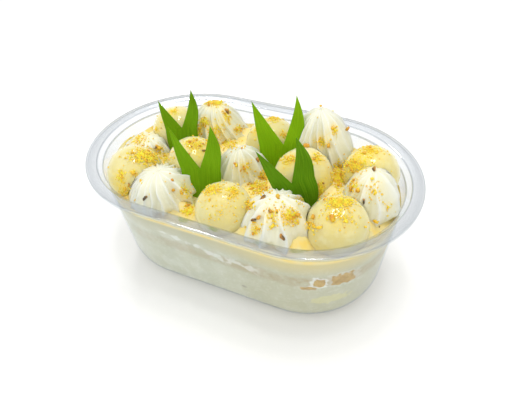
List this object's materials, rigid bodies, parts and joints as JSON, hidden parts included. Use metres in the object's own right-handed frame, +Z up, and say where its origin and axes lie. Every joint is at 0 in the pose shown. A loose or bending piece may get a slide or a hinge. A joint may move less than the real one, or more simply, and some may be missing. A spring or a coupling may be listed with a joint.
{
  "type": "mousse cup",
  "caption": "Oval clear plastic tub of layered mousse and cake, topped with peeled lychees, piped cream rosettes and forked leaves.",
  "frame": {"origin": "centre of the tub's foot, on the surface it stands on", "axes": "+X along the tub's long side, +Y across it to the back of the pictured view, +Z up"},
  "size_m": [0.165, 0.102, 0.0886],
  "materials": {
    "tub_plastic": "clear, glossy, thin",
    "mousse": "moist, smooth, pale milky white",
    "cake": "soft, porous, pale golden crumb",
    "lychee": "wet, glossy, slightly translucent",
    "cream": "soft satin whipped cream",
    "leaf": "waxy leaf, satin"
  },
  "bodies": {
    "root": {"tub": "tub_plastic", "mousse_base": "mousse", "cake_layer": "cake", "mousse_top": "mousse", "lychee_1": "lychee", "lychee_2": "lychee", "lychee_3": "lychee", "lychee_4": "lychee", "lychee_5": "lychee", "lychee_6": "lychee", "lychee_7": "lychee", "lychee_8": "lychee", "cream_1": "cream", "cream_2": "cream", "cream_3": "cream", "cream_4": "cream", "cream_5": "cream", "cream_6": "cream", "cream_7": "cream", "leaf_1": "leaf", "leaf_2": "leaf", "leaf_3": "leaf", "leaf_4": "leaf"}
  },
  "joints": []
}
